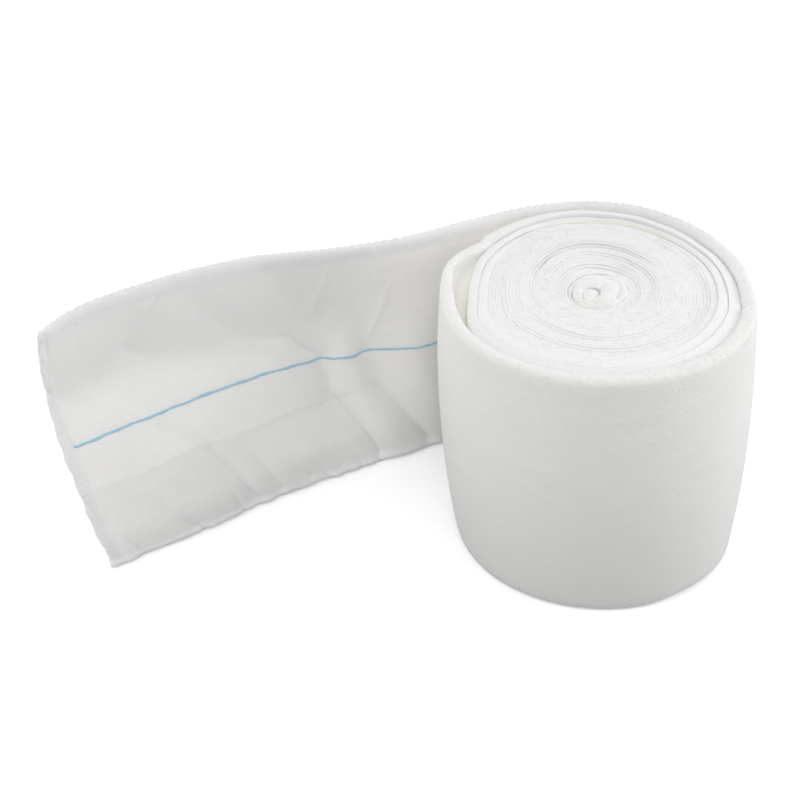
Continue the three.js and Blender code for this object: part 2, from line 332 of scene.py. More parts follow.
# middle and top say how far the strip stands out from over its foot at half its height and at its top, and
# ahead_middle and ahead_top how far it is shifted along its line there.
LINE_COLUMNS = ("x", "y", "thickness", "middle", "top", "ahead_middle", "ahead_top")
CORNER = table("x y thickness middle",
    (-86.5, 41.5, 8, 4.5),
    (-94.5, 32, 6.5, 5),
    (-99, 21, 6, 6),
    (-99.6, 10, 6.5, 6),
    (-97.6, -8, 8, 6),
    (-93.4, -28, 8.5, 5),
)
SLACK_TURN = table("azimuth gap",
    (209, 3.0), (225, 1.0), (247, 1.0), (270, 1.0), (297, 1.0), (316, 1.0),
    (338, 1.2), (360, 1.6), (385, 2.4), (410, 3.6), (430, 3.8), (455, 4.4),
)
FREE_END = table("x y middle top ahead_middle ahead_top thickness",
    (-31, 102.5, 0, 0, 0, 0, 8.5),
    (-62, 96, -1, -3, 0, 0, 8.5),
    (-91, 82.5, -1, -4, 0, 0, 8.5),
    (-122, 68.5, 0, -6, 0, 0, 8.5),
    (-152.5, 52.5, 8, -3, 0, 0, 8.5),
    (-190, 31.5, 19, 7.5, 0, 0, 8.5),
    (-226, 9.5, 17, 24.5, 0, 0, 8.5),
    (-260.5, -14.5, 19, 37, 0, 0, 8.5),
    (-293, -41.5, 24.5, 46, 0, 0, 8.5),
    (-325.5, -64.5, 24.5, 39.5, 0, 0, 8.5),
    (-338.5, -76, 23, 30.5, 1, -2, 7.5),
    (-348, -85.5, 21.5, 23.5, 2.3, -6, 4.5),
)


def columns_of(rows):
    """The columns of a table by their names."""
    return {name: rows[name] for name in rows.dtype.names}


def controls(**columns):
    """Rows of the slack strip's line, with 0 in each column that isn't given."""
    given = np.broadcast_arrays(*columns.values())
    rows = np.zeros((given[0].size, len(LINE_COLUMNS)))
    for name, values in zip(columns, given):
        rows[:, LINE_COLUMNS.index(name)] = values
    return rows


def slack_rows():
    """Two rows on the wound strip for the slope, then the root, the corner, the slack turn and the free
    end."""
    inner, outer = wound_faces(LAST_WOUND_TURN - np.array([0.06, 0.03, 0]))
    x, y = ((inner + outer) / 2).T
    start = controls(x=x, y=y, thickness=np.linalg.norm(outer - inner, axis=1), middle=WALL_BULGE)
    beneath = line_place(LAST_WOUND_TURN + (SLACK_TURN["azimuth"] - START_AZIMUTH) / 360, 1)
    reach = np.linalg.norm(beneath, axis=1)
    x, y = (beneath * ((reach + SLACK_TURN["gap"] + SLACK_THICKNESS / 2) / reach)[:, None]).T
    turn = controls(x=x, y=y, thickness=SLACK_THICKNESS, middle=WALL_BULGE)
    return np.concatenate([start, controls(**columns_of(CORNER)), turn, controls(**columns_of(FREE_END))])


rows = slack_rows()
print("the line of the slack strip has", len(rows), "rows")

# %% Steps along the slack strip
SLACK_STEP = 2.5
FREE_STEP = 1.3
HIDDEN_STEP = 1.8
FREE_LENGTH = 385
HIDDEN_LENGTH = 90
ROOT_ROW = 2
FINE_PLACES = 4000
ROUNDED_LENGTH = 3
ROUNDED_STATIONS = np.array([1.8, 1.0, 0.4, 0.0])

chord = run_along(rows[:, :2])
fine = np.linspace(chord[ROOT_ROW], chord[-1], FINE_PLACES)
run = run_along(np.stack([smooth_through(fine, chord, rows[:, i]) for i in (0, 1)], -1))
slack_length = run[-1]
strip_length = (wound_length + slack_length) * MM
free_from = slack_length - FREE_LENGTH
seen_from = free_from + HIDDEN_LENGTH
seen_steps = round((FREE_LENGTH - HIDDEN_LENGTH) / FREE_STEP)
slack_run = np.concatenate([
    np.linspace(0, free_from, round(free_from / SLACK_STEP), endpoint=False),
    np.linspace(free_from, seen_from, round(HIDDEN_LENGTH / HIDDEN_STEP), endpoint=False),
    np.linspace(seen_from, slack_length - ROUNDED_LENGTH, seen_steps),
    slack_length - ROUNDED_STATIONS,
])
slack_at = np.interp(slack_run, run, fine)
slack_line = {name: smooth_through(slack_at, chord, rows[:, i]) for i, name in enumerate(LINE_COLUMNS)}
print("slack strip", round(slack_length), "mm in", slack_run.size, "stations; the strip is",
      round(strip_length, 2), "m long")

# %% [markdown]
# ## The cross-section
#
# The padding fills the strip to its edges, which are soft and round: an upper edge like half an ellipse and
# a lower edge pressed nearly flat. A Solidify modifier could thicken a flat sheet, but it leaves the edges
# square. So one loop of points goes up the inner face, over the upper edge, down the outer face and back
# under the foot. Parts of the strip that show carry many points, and the packed turns few.

# %% Cross-section loops
def section(inner_rows, crown_points, outer_rows, sole_points, inner_power=1.0, crown_power=1.0, backed=0):
    """One loop round the strip. across is -1 on the inner face and 1 on the outer one. rise is the share of
    the height between the rounded edges, and crown and sole are how much of each edge's rounding is added:
    across is the sine and crown the cosine of an angle from -90 to 90 degrees. place counts the points from
    0 to 1. An inner power under 1 sets the rows of the inner face closer together towards its top. The
    crown is half an ellipse at a crown power of 1 and a parabola, which is softer at its sides, at 2.
    backed counts the points of the crown that the backing covers too. rim numbers the points of the crown
    and the one on either side of it."""
    crown_angle = np.linspace(-90, 90, crown_points + 2)[1:-1]
    sole_angle = np.linspace(90, -90, sole_points + 2)[1:-1]
    stretches = []
    for angle, rise, crown, sole, low, high in (
        (np.full(inner_rows, -90), np.linspace(0, 1, inner_rows) ** inner_power, 0, 0, 0, 0.45),
        (crown_angle, np.ones(crown_points), 1, 0, 0.455, 0.495),
        (np.full(outer_rows, 90), np.linspace(1, 0, outer_rows), 0, 0, 0.5, 0.95),
        (sole_angle, np.zeros(sole_points), 0, 1, 0.96, 0.99),
    ):
        sine, cosine = np.sin(np.radians(angle)), np.cos(np.radians(angle))
        place = np.linspace(low, high, angle.size)
        stretches.append(np.stack([sine, rise, crown * cosine ** crown_power, sole * cosine, place], -1))
    loop = dict(zip(("across", "rise", "crown", "sole", "place"), np.concatenate(stretches).T))
    rim = np.arange(inner_rows - 1, inner_rows + crown_points + 1)
    return {**loop, "inner_rows": inner_rows, "backing_to": inner_rows - 1 + backed, "rim": rim}


PACKED = section(inner_rows=3, crown_points=5, outer_rows=4, sole_points=2, crown_power=2.0)
SLACK = section(inner_rows=22, crown_points=9, outer_rows=44, sole_points=5, inner_power=0.4)
FREE = section(inner_rows=122, crown_points=11, outer_rows=44, sole_points=5, backed=8)
print("points round the strip", [part["across"].size for part in (PACKED, SLACK, FREE)])

# %% [markdown]
# ## Panels, folds, creases and the backing
#
# The free end keeps the shape it had in the pack. It was folded lengthwise, so it stands in panels that
# still bend where the folds were. Across them run valleys that start sharp at the foot or in the middle and
# fade out, with soft bulges between. The thin backing has finer creases of its own, a lap where it overlaps
# itself, and fine puckers that fan up from the lower edge. It stops short of the cut end, where the padding
# thins out. All this could be bump in a material, but it is deep enough to cast shadows and to bend the
# outline, so it moves the surface. In these tables, end is the distance from the cut end.

# %% Panels
# The heights of the four bends between panels, and how far the strip stands out there to its inner side.
PANELS = table("end low_height low lap_height lap thread_height thread shelf_height shelf",
    (0, 24, 6.4, 69, 6, 103, 0, 146, -8.5),
    (45, 25, 8, 68, 7.4, 103, -0.4, 143, -10),
    (60, 26, 8.6, 69, 8, 103, -0.6, 149, -10.4),
    (85, 27, 9.6, 71, 8.8, 103, -1, 142, -9.6),
    (115, 29, 10, 71, 9, 103, -0.8, 132, -7.2),
    (150, 31, 10.2, 71, 7.4, 103, -0.2, 122, -4.2),
    (190, 31, 8.6, 70, 4.6, 102, 0, 112, -1.4),
    (230, 29, 4.6, 71, 1.8, 96, 0, 110, 0),
    (290, 25, 1, 71, 0.6, 96, 0, 110, 0),
    (385, 25, 0, 71, 0, 96, 0, 110, 0),
)
PANELS_FADE_FROM = 290
BEND_ROUNDING = {"low": 7, "lap": 2.5, "thread": 6, "shelf": 7}


def panel_relief(end, height):
    """Straight lines from bend to bend up the strip, nothing at its foot and top. At a bend of rounding r,
    the slope's change is multiplied by (d + root of (d^2 + r^2)) / 2, where d is the height over the
    bend."""
    heights = [0, *(read(PANELS, end, name + "_height") for name in BEND_ROUNDING), STRIP_WIDTH]
    reliefs = [0, *(read(PANELS, end, name) for name in BEND_ROUNDING), 0]
    slopes = [(reliefs[i + 1] - reliefs[i]) / (heights[i + 1] - heights[i]) for i in range(len(heights) - 1)]
    total = slopes[0] * height
    for rounding, bend, before, after in zip(BEND_ROUNDING.values(), heights[1:], slopes, slopes[1:]):
        over = height - bend
        total = total + (after - before) * (over + np.sqrt(over ** 2 + rounding ** 2)) / 2
    return total


print("the panels stand out from", PANELS["shelf"].min(), "to", PANELS["low"].max(), "mm")

# %% Folds and creases
def lines_across(*lines):
    """Lines across the free end, each a table of places, of how far the strip rises there, and of how far
    beside the line that reaches."""
    return [table("end height rise reach", *rows) for rows in lines]


FOLDS = lines_across(
    [(150, 135, -0.6, 5), (168, 131, -1, 5), (179, 117, -1.7, 5), (192, 105, -2.8, 7),
     (193, 72, -3.6, 8), (207, 45, -4.0, 7), (223, 8, -3.0, 6)],
    [(205, 125, 1.0, 14), (209, 103, 4.2, 13), (214, 74, 4.0, 13), (230, 38, 2.6, 12), (242, 8, 1.2, 11)],
    [(223, 135, -0.8, 12), (227, 104, -4.2, 11), (233, 68, -3.4, 9), (247, 40, -3.0, 7), (264, 8, -2.4, 6)],
    [(256, 130, 1.0, 16), (260, 102, 3.8, 15), (264, 68, 3.2, 15), (282, 20, 1.6, 14)],
    [(56, 100, -0.5, 7), (76, 84, -1.5, 7), (91, 70, -2.2, 7), (99, 53, -2.6, 6), (108, 34, -2.8, 6),
     (119, 8, -2.6, 5)],
    [(104, 192, -0.8, 12), (131, 150, -1.5, 10), (150, 118, -1.4, 9)],
    [(156, 196, -0.8, 9), (176, 160, -1.2, 9), (186, 138, -0.6, 8)],
    [(30, 48, -0.8, 7), (50, 31, -1.4, 6), (68, 8, -1.8, 5)],
    [(118, 58, -0.6, 6), (129, 34, -1.4, 5), (138, 8, -1.6, 4.5)],
)
CREASES = lines_across(
    [(158, 133, -0.3, 2.5), (172, 129, -1, 2.5), (180, 117, -1.4, 2.5), (190, 107, -0.6, 2.5)],
    [(193, 104, -0.6, 3), (195, 72, -1.5, 3), (207, 47, -2.1, 2.6), (217, 26, -2.8, 2.4), (224, 8, -3, 2.4)],
    [(232, 68, -0.45, 3.0), (246, 42, -1.4, 2.4), (259, 20, -2, 2.4), (265, 8, -2.1, 2.4)],
    [(92, 70, -0.6, 3.5), (106, 40, -0.9, 3.5), (118, 10, -1.2, 3.0)],
    [(97, 34, -0.45, 2.6), (103, 16, -1.5, 2.6), (107, 3, -2.1, 2.6)],
    [(148, 32, -0.6, 2.6), (155, 22, -1.7, 2.6), (166, 11, -1.5, 2.6)],
    [(62, 15, -0.6, 2.4), (73, 3, -1.8, 2.4)],
    [(15, 26, -0.45, 2.4), (20, 15, -1.5, 2.4), (25, 4, -2.1, 2.4)],
    [(97, 197, 0.7, 2.2), (82, 182, 1.3, 2.2), (67, 167, 0.5, 2.2)],
    [(204, 187, 0.8, 2.4), (190, 148, 1.0, 2.4)],
    [(235, 192, 1.1, 2.4), (237, 166, 0.5, 2.4)],
    [(246, 166, 0.5, 2.6), (228, 116, 0.8, 2.6)],
    [(124, 50, -0.3, 3.0), (134, 24, -1.2, 2.6), (141, 6, -1.5, 2.6)],
    [(57, 158, -1, 5.0), (63, 152, -0.45, 5.0)],
    [(110, 26, -0.45, 2.4), (124, 6, -1.4, 2.4)],
    [(171, 24, -0.45, 2.6), (178, 6, -1.2, 2.6)],
)
SOFT, SHARP = 2, 1


def along_lines(lines, end, height, power):
    """Each line joins its rows. A place takes rise * exp(-(distance / reach) ^ power) from the nearest
    point of a line, and the lines add up."""
    total = np.zeros(np.broadcast(end, height).shape)
    for rows in lines:
        nearest, value = np.full(total.shape, np.inf), np.zeros(total.shape)
        for a, b in zip(rows, rows[1:]):
            step, up = b["end"] - a["end"], b["height"] - a["height"]
            share = ((end - a["end"]) * step + (height - a["height"]) * up) / (step ** 2 + up ** 2)
            share = np.clip(share, 0, 1)
            away = np.hypot(end - a["end"] - share * step, height - a["height"] - share * up)
            reach = a["reach"] + share * (b["reach"] - a["reach"])
            rise = a["rise"] + share * (b["rise"] - a["rise"])
            value = np.where(away < nearest, rise * np.exp(-(away / reach) ** power), value)
            nearest = np.minimum(away, nearest)
        total += value
    return total


print(len(FOLDS), "folds and", len(CREASES), "creases, the deepest fold",
      min(line["rise"].min() for line in FOLDS), "mm")

# %% Relief of both faces
CREASE_STRENGTH = 1.3
LAP_LINE = table("end height",
    (0, 70), (14, 69.5), (34, 67.5), (52, 68.5), (80, 71.5), (120, 71),
    (175, 70.5), (186, 68), (198, 68), (216, 72), (232, 70), (290, 70),
)
LAP_STEP = 0.7
LAP_FADE = 14
LAP_FROM_END = 12
LAP_TO_END = 240
BACKING_EDGE = table("height end",
    (0, 12), (20, 11), (53, 13), (80, 10), (106, 8), (144, 5), (171, 7), (200, 11),
)
BACKING_STEP = 1.3
HEM_HEIGHT = 4
HEM_REACH = 3
HEM_FROM_END = 30
PUCKER_RELIEF = 0.9
PUCKER_PITCH = 7.5
PUCKER_FADE = 20
FAN_FROM_END = 85
FAN_TO_END = 240


def strip_relief(end, height):
    """How far the whole strip stands out towards the side of its inner face: panels and folds."""
    free = ramp(end, FREE_LENGTH, PANELS_FADE_FROM)
    return panel_relief(end, height) * free + along_lines(FOLDS, end, height, SOFT)


def backing_relief(end, height):
    """How far the inner face stands out more: creases, the step at the lap, the step at the backing's own
    edge, the soft hem of padding along the foot, fine puckers that fade upwards, and a slow unevenness."""
    over_lap = height - (read(LAP_LINE, end, "height") + 0.4 * noise(11, end / 11))
    lapped = ramp(end, LAP_FROM_END - 4, LAP_FROM_END) * ramp(end, LAP_TO_END, LAP_TO_END - 40)
    lap = LAP_STEP * lapped * ramp(over_lap, -0.9, 0.9) * np.exp(-over_lap.clip(0) / LAP_FADE)
    edge = read(BACKING_EDGE, height, "end") + 0.8 * noise(12, height / 9)
    backed = ramp(end, edge - 1.5, edge + 0.8)
    fullness = 0.9 + 0.5 * noise(16, end / 9) + 0.4 * noise(17, end / 3)
    hem = fullness * ramp(end, HEM_FROM_END, 2 * HEM_FROM_END)
    hem = hem * bell(height, HEM_HEIGHT, HEM_REACH + 0.8 * noise(18, end / 14))
    fan = ramp(end, FAN_FROM_END, FAN_FROM_END + 25) * ramp(end, FAN_TO_END, FAN_TO_END - 60) + 0.35
    puckers = noise(13, (end + 0.5 * height) / PUCKER_PITCH, height / 60) * np.exp(-height / PUCKER_FADE)
    unevenness = 0.3 * noise(14, end / 26, height / 34) + 0.12 * noise(15, end / 8, height / 11)
    creases = CREASE_STRENGTH * along_lines(CREASES, end, height, SHARP)
    return creases + lap + BACKING_STEP * backed + hem + PUCKER_RELIEF * fan * puckers + unevenness


def cover_relief(run, height):
    """How far the outer face stands out: slow soft dents and faint bands along the strip."""
    return 0.35 * noise(21, run / 55, height / 38) + 0.12 * noise(22, run / 30, height / 5)


print("relief 200 mm from the end", np.round(strip_relief(200, np.array([30.0, 70.0, 100.0])), 1), "mm")

# %% [markdown]
# ## Stations along the strip
#
# A station is a place on the strip where one cross-section loop stands. Each has the plan of its middle,
# the direction across the strip, half its thickness, and how it leans and where its edges lie. The wound
# turns and the slack strip give the same columns, so that one function can place the points of both.

# %% Stations of the wound turns
PACKED_CLEARANCE = 0.997
LOOSE_CORE_TURNS = 1.6
FIRM_TURNS = 2.6
CROWN_SHARE = 0.022
LEAST_CROWN = 0.02
SLIT_ROUNDING = 0.9
CORE_ROUNDING = 1.3
SOLE_SHARE = 0.3
DEEPEST_SOLE = 1.5


def wound_stations(turns):
    """Loops that stand upright. Only the outer turns bulge as the roll's wall does, by a share of the turns
    to the sixth power, and the loose turns at the core are lumpy and round on top."""
    inner, outer = wound_faces(turns)
    across = outer - inner
    thickness = np.linalg.norm(across, axis=1)
    plan = (inner + outer) / 2
    run = run_along(plan)
    zero = np.zeros_like(run)
    drop, beside = edge_drop(turns)
    core = ramp(turns, FIRM_TURNS, LOOSE_CORE_TURNS)
    x, y = plan.T
    unevenness = 0.45 * noise(31, x / 13, y / 13) + 0.45 * noise(32, turns * 0.45)
    unevenness = unevenness + 0.12 * noise(30, run / 6, turns) + 1.5 * core * noise(29, x / 5.5, y / 5.5)
    return {
        "plan": plan,
        "out": across / thickness[:, None],
        "ahead": np.zeros_like(across),
        "half": thickness / 2 * PACKED_CLEARANCE,
        "run": run,
        "end": slack_length + run[-1] - run,
        "middle": WALL_BULGE * (turns / LAST_WOUND_TURN) ** 6,
        "top": zero, "ahead_middle": zero, "ahead_top": zero,
        "edge": STRIP_WIDTH - drop - read(SHOULDER, turns, "drop") + unevenness,
        "outward": read(SHOULDER, turns, "outward"),
        "crown_drop": CROWN_SHARE * thickness + SLIT_ROUNDING * beside + LEAST_CROWN + CORE_ROUNDING * core,
        "foot": zero,
        "sole_drop": np.minimum(SOLE_SHARE * thickness, DEEPEST_SOLE),
    }


wound = wound_stations(wound_turns[:-1])
print("wound stations", wound["run"].size, "up to", round(float(wound["edge"].max()), 1), "mm high")

# %% Stations of the slack strip
SLACK_CLEARANCE = 0.985
LEAVING_LENGTH = 30
END_ROUNDING = 4
END_DROP = 3
THINNEST_SHARE_SQUARED = 0.06
SCALLOP_PITCH = 5.5
SCALLOP_DEPTH = 2.4
SCALLOP_FROM = 120
SCALLOP_FULL_FROM = 420
# Two marks on the slack turn: a small dip in its upper edge, and a place where its foot is lifted.
DIP_AZIMUTH, DIP_WIDTH, DIP_DEPTH = 349, 2, 1.8
LIFT_AZIMUTH, LIFT_WIDTH, LIFT_HEIGHT = 312, 16, 2.5
SLACK_CROWN = 4.5
SLACK_SOLE = 1.2
# How far under its upper edge the slack turn begins to touch the roll, how far it takes to close the gap,
# and how much the inner half of its upper edge is rounded: less where it lies flush with the roll.
SWELL = table("azimuth start reach round",
    (147, 2, 10, 1),
    (165, 3, 16, 1),
    (200, 3, 18, 1),
    (225, 0, 6, 0.6),
    (245, 0.5, 5, 0.6),
    (315, -1.0, 3, 0.4),
    (335, 1, 6, 0.6),
    (355, 1, 9, 0.9),
    (420, 1, 8, 0.8),
    (490, 1, 8, 1),
    (507, 0, 4, 1),
)


def slack_stations():
    """Loops across the slack line. At its root they turn from the roll's radius to the line's own
    direction, and at the cut end they thin out as a quarter of a circle does. The upper edge is scalloped,
    and fully so along the free end. The gap is closed by a swelling of the inner face, down from the
    edge."""
    x, y, thickness = (slack_line[name] for name in ("x", "y", "thickness"))
    plan = np.stack([x, y], -1)
    ahead = np.gradient(plan, slack_run, axis=0)
    ahead /= np.linalg.norm(ahead, axis=1)[:, None]
    inner, outer = wound_faces(np.array([LAST_WOUND_TURN]))
    radial = (outer - inner) / np.linalg.norm(outer - inner)
    leaving = ramp(slack_run, 0, LEAVING_LENGTH)[:, None]
    out = radial * (1 - leaving) + np.stack([ahead[:, 1], -ahead[:, 0]], -1) * leaving
    out /= np.linalg.norm(out, axis=1)[:, None]
    end = slack_length - slack_run
    rounding = np.sqrt(np.clip(1 - (1 - end / END_ROUNDING).clip(0) ** 2, THINNEST_SHARE_SQUARED, 1))
    free = ramp(end, FREE_LENGTH + 40, FREE_LENGTH - 60)
    notch = 1 - np.abs(np.sin(np.pi * (slack_run / SCALLOP_PITCH + 0.5 * noise(33, slack_run / 19))))
    notch_depth = SCALLOP_DEPTH * (0.6 + 0.4 * noise(36, slack_run / 40))
    notch_depth = notch_depth * ramp(slack_run, SCALLOP_FROM, SCALLOP_FULL_FROM)
    azimuth = np.degrees(np.arctan2(y, x)) % 360
    dip = DIP_DEPTH * bell(azimuth, DIP_AZIMUTH, DIP_WIDTH)
    lift = LIFT_HEIGHT * bell(azimuth, LIFT_AZIMUTH, LIFT_WIDTH) * (1 - free)
    worn = 0.3 * (1 + noise(37, slack_run / 30))
    fray = 0.3 * (1 + noise(34, slack_run / 13)) + 0.15 * (1 + noise(35, slack_run / 4))
    turned = START_AZIMUTH + (azimuth - START_AZIMUTH) % 360
    beneath = line_place(LAST_WOUND_TURN + (turned - START_AZIMUTH) / 360, 1)
    gap = np.linalg.norm(plan, axis=1) - np.linalg.norm(beneath, axis=1) - thickness / 2
    swell = np.where(slack_run < free_from, gap.clip(0) + 0.1, 0)
    return {
        "plan": plan,
        "out": out,
        "ahead": ahead,
        "half": thickness / 2 * SLACK_CLEARANCE * rounding,
        "run": slack_run + wound_length,
        "end": end,
        **{name: slack_line[name] for name in ("middle", "top", "ahead_middle", "ahead_top")},
        "edge": STRIP_WIDTH - worn - dip * (1 - free) - END_DROP * (1 - rounding),
        "scallop": notch_depth * notch,
        "crown_drop": SLACK_CROWN * (1 + free),
        "foot": lift + fray,
        "sole_drop": SLACK_SOLE * (1 + free / 2) + 0.8 * lift,
        "swell": swell,
        "swell_start": read(SWELL, turned, "start"),
        "swell_reach": read(SWELL, turned, "reach"),
        "inner_round": np.where(swell > 0, read(SWELL, turned, "round"), 1),
    }


slack = slack_stations()
print("slack stations", slack["run"].size, "beside a gap of", round(float(slack["swell"].max()), 1), "mm")

# %% Points of the strip
CUT_LENGTH = 22


def leaning(column, up):
    """How far a station stands out and ahead at a height up the strip: two parabolas that are 0 at the foot
    and have the station's values at its middle and top."""
    share = up / STRIP_WIDTH
    parabola = lambda middle, top: share * (4 * middle - top + share * (2 * top - 4 * middle))
    return parabola(column["middle"], column["top"]), parabola(column["ahead_middle"], column["ahead_top"])


def place_points(column, up, lean, shift, offset):
    """Points at heights up the strip, offset that far through it from its middle. Their height over the
    floor is the root of the squared height up the strip less the squared lean."""
    plan = column["plan"] + column["out"] * (lean + offset)[..., None] + column["ahead"] * shift[..., None]
    height = np.sqrt((up ** 2 - lean ** 2).clip(0))
    return np.concatenate([plan, height[..., None]], -1)


def strip_points(part, stations):
    """The points of every station's loop, their places in the strip, which are along it, up it and through
    it, and their depths under its upper edge. A point lies at its height up the strip, bent by the lean and
    the folds, and takes the relief of its own face."""
    column = {name: values[:, None] for name, values in stations.items()}
    across, crown, sole = part["across"], part["crown"], part["sole"]
    low = column["foot"] + column["sole_drop"]
    high = column["edge"] - column["crown_drop"]
    up = low + part["rise"] * (high - low) + crown * column["crown_drop"] - sole * column["sole_drop"]
    lean, shift = leaning(column, up)
    offset = across * column["half"]
    depth = column["edge"] - up
    if part is PACKED:
        up = up - column["outward"] * (across + 1) / 2 * part["rise"]
    else:
        end, inward = column["end"], across.clip(None, 0)
        flush = (across < 0) & (crown > 0)
        up = up + np.where(flush, (1 - crown) * (1 - column["inner_round"]) * column["crown_drop"], 0)
        up = up - column["scallop"] * crown * ramp(across, -0.7, 0.3)
        lean = lean - strip_relief(end, up)
        offset = offset + across.clip(0) * cover_relief(column["run"], up)
        offset = offset + inward * backing_relief(end, up) * ramp(end, -1, END_ROUNDING)
        touching = (column["edge"] - up - column["swell_start"]) / column["swell_reach"]
        offset = offset + inward * column["swell"] * ramp(touching, 0, 1)
        ragged = 1.1 * noise(38, up / 17) + 0.6 * noise(39, up / 6) + 0.6 * noise(28, up / 2.9)
        shift = shift + ramp(end, CUT_LENGTH, 0) * ragged
    place = np.stack(np.broadcast_arrays(column["run"], up, offset), -1)
    return place_points(column, up, lean, shift, offset), place, depth


in_turn = slack["end"] > FREE_LENGTH
parts = [
    (PACKED, wound),
    (SLACK, {name: values[in_turn] for name, values in slack.items()}),
    (FREE, {name: values[~in_turn] for name, values in slack.items()}),
]
print("stations", [stations["run"].size for _, stations in parts])

# %% [markdown]
# ## One closed skin
#
# Loops of the same kind are joined by a grid of quads. Where the kind changes, and over the two ends, a zip
# of triangles joins chains with different numbers of points. Three strips that overlap would be simpler,
# but a closed skin has no seam that shows. The backing is its own material, so each face also says which
# side of the strip it is on.

# %% Faces between chains of points
def zip_faces(left, left_place, right, right_place):
    """Triangles between two chains. Each step along either chain, taken in the order of their places, makes
    a triangle with the point that the other chain has reached."""
    steps = np.concatenate([left_place[1:], right_place[1:]])
    on_left = np.repeat([True, False], [left.size - 1, right.size - 1])[np.argsort(steps, kind="stable")]
    i = np.cumsum(on_left) - on_left
    j = np.cumsum(~on_left) - ~on_left
    next_left, next_right = np.minimum(i + 1, left.size - 1), np.minimum(j + 1, right.size - 1)
    return np.stack([left[i], right[j], np.where(on_left, left[next_left], right[next_right])], -1)


def ring_faces(first, rings, points):
    """Quads between one loop and the next, all round."""
    start = first + np.arange(rings - 1)[:, None] * points
    here, beside = start + np.arange(points), start + (np.arange(points) + 1) % points
    return np.stack([here, here + points, beside + points, beside], -1).reshape(-1, 4)


def end_cap(loop, up, inner_points):
    """Triangles over one end, between the inner half of its loop and the outer half read backwards."""
    inner, outer = slice(inner_points), slice(None, inner_points - 1, -1)
    rising = np.maximum.accumulate
    return zip_faces(loop[inner], rising(up[inner]), loop[outer], rising(up[outer]))


def signed_volume(points, faces):
    """The sum over triangles of a . (b x c) / 6, with each face cut into a fan."""
    total = 0.0
    for group in faces:
        for k in range(1, group.shape[1] - 1):
            a, b, c = points[group[:, 0]], points[group[:, k]], points[group[:, k + 1]]
            total += np.einsum("ij,ij->i", a, np.cross(b, c)).sum() / 6
    return total


def make_mesh(name, points, faces, sides=None):
    """A smooth mesh object from an array of points and arrays of faces. Where their volume comes out
    negative, the faces look inwards, and all are turned round."""
    turn = -1 if signed_volume(points, faces) < 0 else 1
    flat = [face for group in faces for face in group[:, ::turn].tolist()]
    mesh = bpy.data.meshes.new(name)
    mesh.from_pydata(points.tolist(), [], flat)
    mesh.polygons.foreach_set("use_smooth", np.ones(len(flat), bool))
    if sides is not None:
        mesh.polygons.foreach_set("material_index", sides.astype(np.int32))
    mesh.update()
    thing = bpy.data.objects.new(name, mesh)
    bpy.context.collection.objects.link(thing)
    return thing


def give_attribute(thing, name, kind, field, values):
    """Keeps an array on the points of a mesh, where its material can read it."""
    attribute = thing.data.attributes.new(name, kind, "POINT")
    attribute.data.foreach_set(field, values.ravel())


print("a tube of 3 rings of 4 points has", len(ring_faces(0, 3, 4)), "faces")

# %% The strip's mesh
COVER, BACKING, CUT, WOUND = 0, 1, 2, 3
# Up to this place round the loops, the triangles of a joint are backing.
BACKED_PLACE = 0.452
CORE_CAP_POINTS = PACKED["inner_rows"] + 2
CUT_CAP_POINTS = FREE["inner_rows"] + 5

points, places, depths, quads, quad_sides, joints, joint_sides = [], [], [], [], [], [], []
first = 0
last_chain = None
for part, stations in parts:
    loops, place, depth = strip_points(part, stations)
    rings, size = loops.shape[:2]
    points.append(loops.reshape(-1, 3))
    places.append(place.reshape(-1, 3))
    depths.append(depth.ravel())
    quads.append(ring_faces(first, rings, size))
    loop_sides = np.full(size, WOUND if part is PACKED else COVER)
    loop_sides[:part["backing_to"]] = BACKING
    quad_sides.append(np.tile(loop_sides, rings - 1))
    loop = first + np.arange(size)
    round_place = np.append(part["place"], 1)
    if last_chain is None:
        core_cap = end_cap(loop, place[0, :, 1], CORE_CAP_POINTS)[:, ::-1]
    else:
        joints.append(zip_faces(*last_chain, np.append(loop, loop[0]), round_place))
        reached = np.sort(np.concatenate([last_chain[1][1:], round_place[1:]]))
        joint_sides.append(np.where(reached < BACKED_PLACE, BACKING, COVER))
    loop = loop + (rings - 1) * size
    last_chain = (np.append(loop, loop[0]), round_place)
    first += rings * size
cut_cap = end_cap(loop, place[-1, :, 1], CUT_CAP_POINTS)
points, places, depths = (np.concatenate(values) * MM for values in (points, places, depths))
quads, triangles = np.concatenate(quads), np.concatenate([*joints, core_cap, cut_cap])
sides = np.concatenate([*quad_sides, *joint_sides, np.full(len(core_cap) + len(cut_cap), CUT)])

strip = make_mesh("dressing_strip", points, [quads, triangles], sides)
give_attribute(strip, "strip_place", "FLOAT_VECTOR", "vector", places)
give_attribute(strip, "under_edge", "FLOAT", "value", depths)
print("strip", 2 * len(quads) + len(triangles), "triangles,",
      round(abs(signed_volume(points, [quads, triangles])) * 1000, 2), "litres")

# %% [markdown]
# ## The blue thread
#
# One pale blue yarn is woven into the backing along its middle, to show which face is turned away from the
# wound. It could be a stripe in the backing's material, but a yarn stands proud and catches the light. So
# it is a low round-topped band that follows the backing's own relief, and it wanders a little and thins and
# swells as a loose yarn does. It is made where the inner face shows: round the slack turn and along the
# free end.

# %% The blue thread
THREAD_LINE = table("end height",
    (7, 105.7), (22, 104.3), (37, 103.8), (70, 104.5), (110, 106),
    (155, 106.3), (175, 104.8), (184, 103.5), (300, 103), (930, 103),
)
THREAD_STEP = 1.1
THREAD_HALF_WIDTH = 0.85
THREAD_RISE = 0.4
THREAD_DEPTH = 0.35
THREAD_SIDES = 10
THREAD_FROM_ROOT = 2


